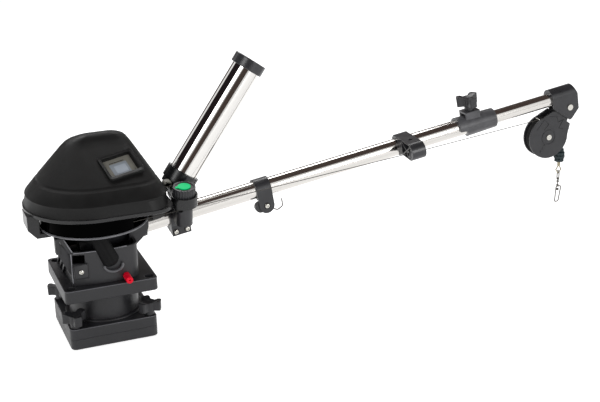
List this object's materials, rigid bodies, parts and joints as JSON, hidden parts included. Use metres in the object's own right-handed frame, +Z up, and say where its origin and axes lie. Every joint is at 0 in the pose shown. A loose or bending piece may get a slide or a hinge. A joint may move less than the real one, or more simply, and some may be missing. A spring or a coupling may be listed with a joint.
{
  "type": "electric fishing downrigger",
  "caption": "Swivelling deck pedestal with a covered cable spool, a display, a telescopic tube boom with a pulley head, a hanging line snap and a tilted rod holder.",
  "frame": {"origin": "centre of the mounting plate's underside, on the swivel axis", "axes": "+Z up along the swivel axis, +X along the boom in plan, -Y the side on which the cable leaves the spool"},
  "size_m": [1.067, 0.2224, 0.4632],
  "materials": {
    "black_plastic": "fine texture, semi-matt",
    "satin_black": "semi-gloss moulded",
    "gloss_black": "glossy",
    "black_metal": "semi-matt black",
    "tube_steel": "fine lengthwise brushing",
    "polished_steel": "polished",
    "screw_steel": "bright",
    "axle_steel": "plain",
    "cable_steel": "stranded",
    "red_pin": "satin red",
    "green_disc": "satin green",
    "stopper_rubber": "dark green, ribbed",
    "crimp_brass": "dull",
    "bezel_grey": "grey",
    "screen_glass": "pale, bluish",
    "board_green": "plain",
    "belt_rubber": "toothed",
    "bush_white": "slippery",
    "motor_steel": "plain"
  },
  "bodies": {
    "pedestal": {"mounting_plate": "black_plastic", "clamp_plate": "black_plastic", "clamp_studs": "screw_steel", "riser_drum": "black_plastic", "swivel_plate": "black_plastic", "detent_ring": "black_metal", "swivel_post": "axle_steel"},
    "knob_front_left": {"clamp_knob_front_left": "black_plastic"},
    "knob_front_right": {"clamp_knob_front_right": "black_plastic"},
    "knob_rear_left": {"clamp_knob_rear_left": "black_plastic"},
    "knob_rear_right": {"clamp_knob_rear_right": "black_plastic"},
    "head_frame": {"frame": "black_plastic", "inlet_hood": "black_plastic", "fitting_screws": "screw_steel", "centre_post": "axle_steel", "post_nut": "axle_steel", "spool_guard": "gloss_black", "tray": "satin_black", "cover": "satin_black", "screen_bezel": "bezel_grey", "screen_lens": "screen_glass", "counter_board": "board_green", "motor_mount": "black_metal", "drive_motor": "motor_steel", "drive_belt": "belt_rubber", "boom_outer_tube": "tube_steel", "lock_sleeve": "black_plastic", "guide_block": "black_plastic", "hook_clamp": "black_plastic", "line_hook": "screw_steel", "rod_bracket": "black_plastic", "bracket_clamp": "black_plastic", "cable_run": "cable_steel"},
    "pin": {"lock_pin": "red_pin"},
    "spool": {"spool": "gloss_black", "spool_bearings": "axle_steel", "cable_wrap": "cable_steel", "spool_pulley": "motor_steel"},
    "motor_rotor": {"motor_pulley": "motor_steel"},
    "inner_boom": {"boom_inner_tube": "tube_steel", "slide_bush": "bush_white", "end_cap": "satin_black", "head_bolt": "screw_steel", "cable_lead": "cable_steel"},
    "lock_knob": {"boom_lock_knob": "black_plastic"},
    "pulley_head": {"head_plate_near": "black_metal", "head_plate_far": "black_metal", "wheel_axle": "screw_steel", "cable_drop": "cable_steel", "cable_stopper": "stopper_rubber", "cable_crimp": "crimp_brass"},
    "wheel": {"pulley_wheel": "satin_black"},
    "snap": {"snap_link": "screw_steel", "snap_loop": "screw_steel"},
    "rod_holder": {"rod_collar": "satin_black", "rod_tube": "polished_steel", "rim_cap": "satin_black"},
    "holder_knob": {"rod_knob": "black_plastic", "knob_disc": "green_disc"}
  },
  "joints": [
    {"name": "swivel", "type": "hinge", "parent": "pedestal", "child": "head_frame", "pos_m": [0, 0, 0.118], "axis": [0, 0, 1], "continuous": true},
    {"name": "knob_front_left_turn", "type": "hinge", "parent": "pedestal", "child": "knob_front_left", "pos_m": [-0.064, -0.064, 0.05], "axis": [0, 0, 1], "continuous": true},
    {"name": "knob_front_right_turn", "type": "hinge", "parent": "pedestal", "child": "knob_front_right", "pos_m": [0.064, -0.064, 0.05], "axis": [0, 0, 1], "continuous": true},
    {"name": "knob_rear_left_turn", "type": "hinge", "parent": "pedestal", "child": "knob_rear_left", "pos_m": [-0.064, 0.064, 0.05], "axis": [0, 0, 1], "continuous": true},
    {"name": "knob_rear_right_turn", "type": "hinge", "parent": "pedestal", "child": "knob_rear_right", "pos_m": [0.064, 0.064, 0.05], "axis": [0, 0, 1], "continuous": true},
    {"name": "pin_push", "type": "slide", "parent": "head_frame", "child": "pin", "axis": [0, 1, 0], "range_m": [0, 0.008]},
    {"name": "spool_turn", "type": "hinge", "parent": "head_frame", "child": "spool", "pos_m": [-0.0065, 0, 0.2], "axis": [0, 0, 1], "continuous": true},
    {"name": "motor_turn", "type": "hinge", "parent": "head_frame", "child": "motor_rotor", "pos_m": [0.04, 0.058, 0.24], "axis": [0, 0, 1], "continuous": true},
    {"name": "boom_slide", "type": "slide", "parent": "head_frame", "child": "inner_boom", "axis": [0.9885, 0, 0.1514], "range_m": [-0.11, 0.58], "deforming": ["cable_run"]},
    {"name": "boom_lock_turn", "type": "hinge", "parent": "head_frame", "child": "lock_knob", "pos_m": [0.71415, 0, 0.31223], "axis": [-0.1514, 0, 0.9885], "continuous": true},
    {"name": "head_swing", "type": "hinge", "parent": "inner_boom", "child": "pulley_head", "pos_m": [0.92583, 0, 0.28821], "axis": [0, 1, 0], "range_deg": [-14, 0], "deforming": ["cable_lead"]},
    {"name": "wheel_turn", "type": "hinge", "parent": "pulley_head", "child": "wheel", "pos_m": [0.88481, 0, 0.23174], "axis": [0, 1, 0], "continuous": true},
    {"name": "snap_swing", "type": "hinge", "parent": "pulley_head", "child": "snap", "pos_m": [0.91881, 0, 0.155], "axis": [0, 1, 0], "range_deg": [-35, 35]},
    {"name": "holder_turn", "type": "hinge", "parent": "head_frame", "child": "rod_holder", "pos_m": [0.14005, -0.0507, 0.22189], "axis": [0, -0.1564, 0.9877], "range_deg": [-90, 0]},
    {"name": "holder_knob_turn", "type": "hinge", "parent": "head_frame", "child": "holder_knob", "pos_m": [0.14005, -0.0507, 0.22189], "axis": [0, -0.1564, 0.9877], "continuous": true}
  ],
  "couplings": [
    {"joint": "motor_turn", "follows": "spool_turn", "ratio": 3.5385}
  ]
}
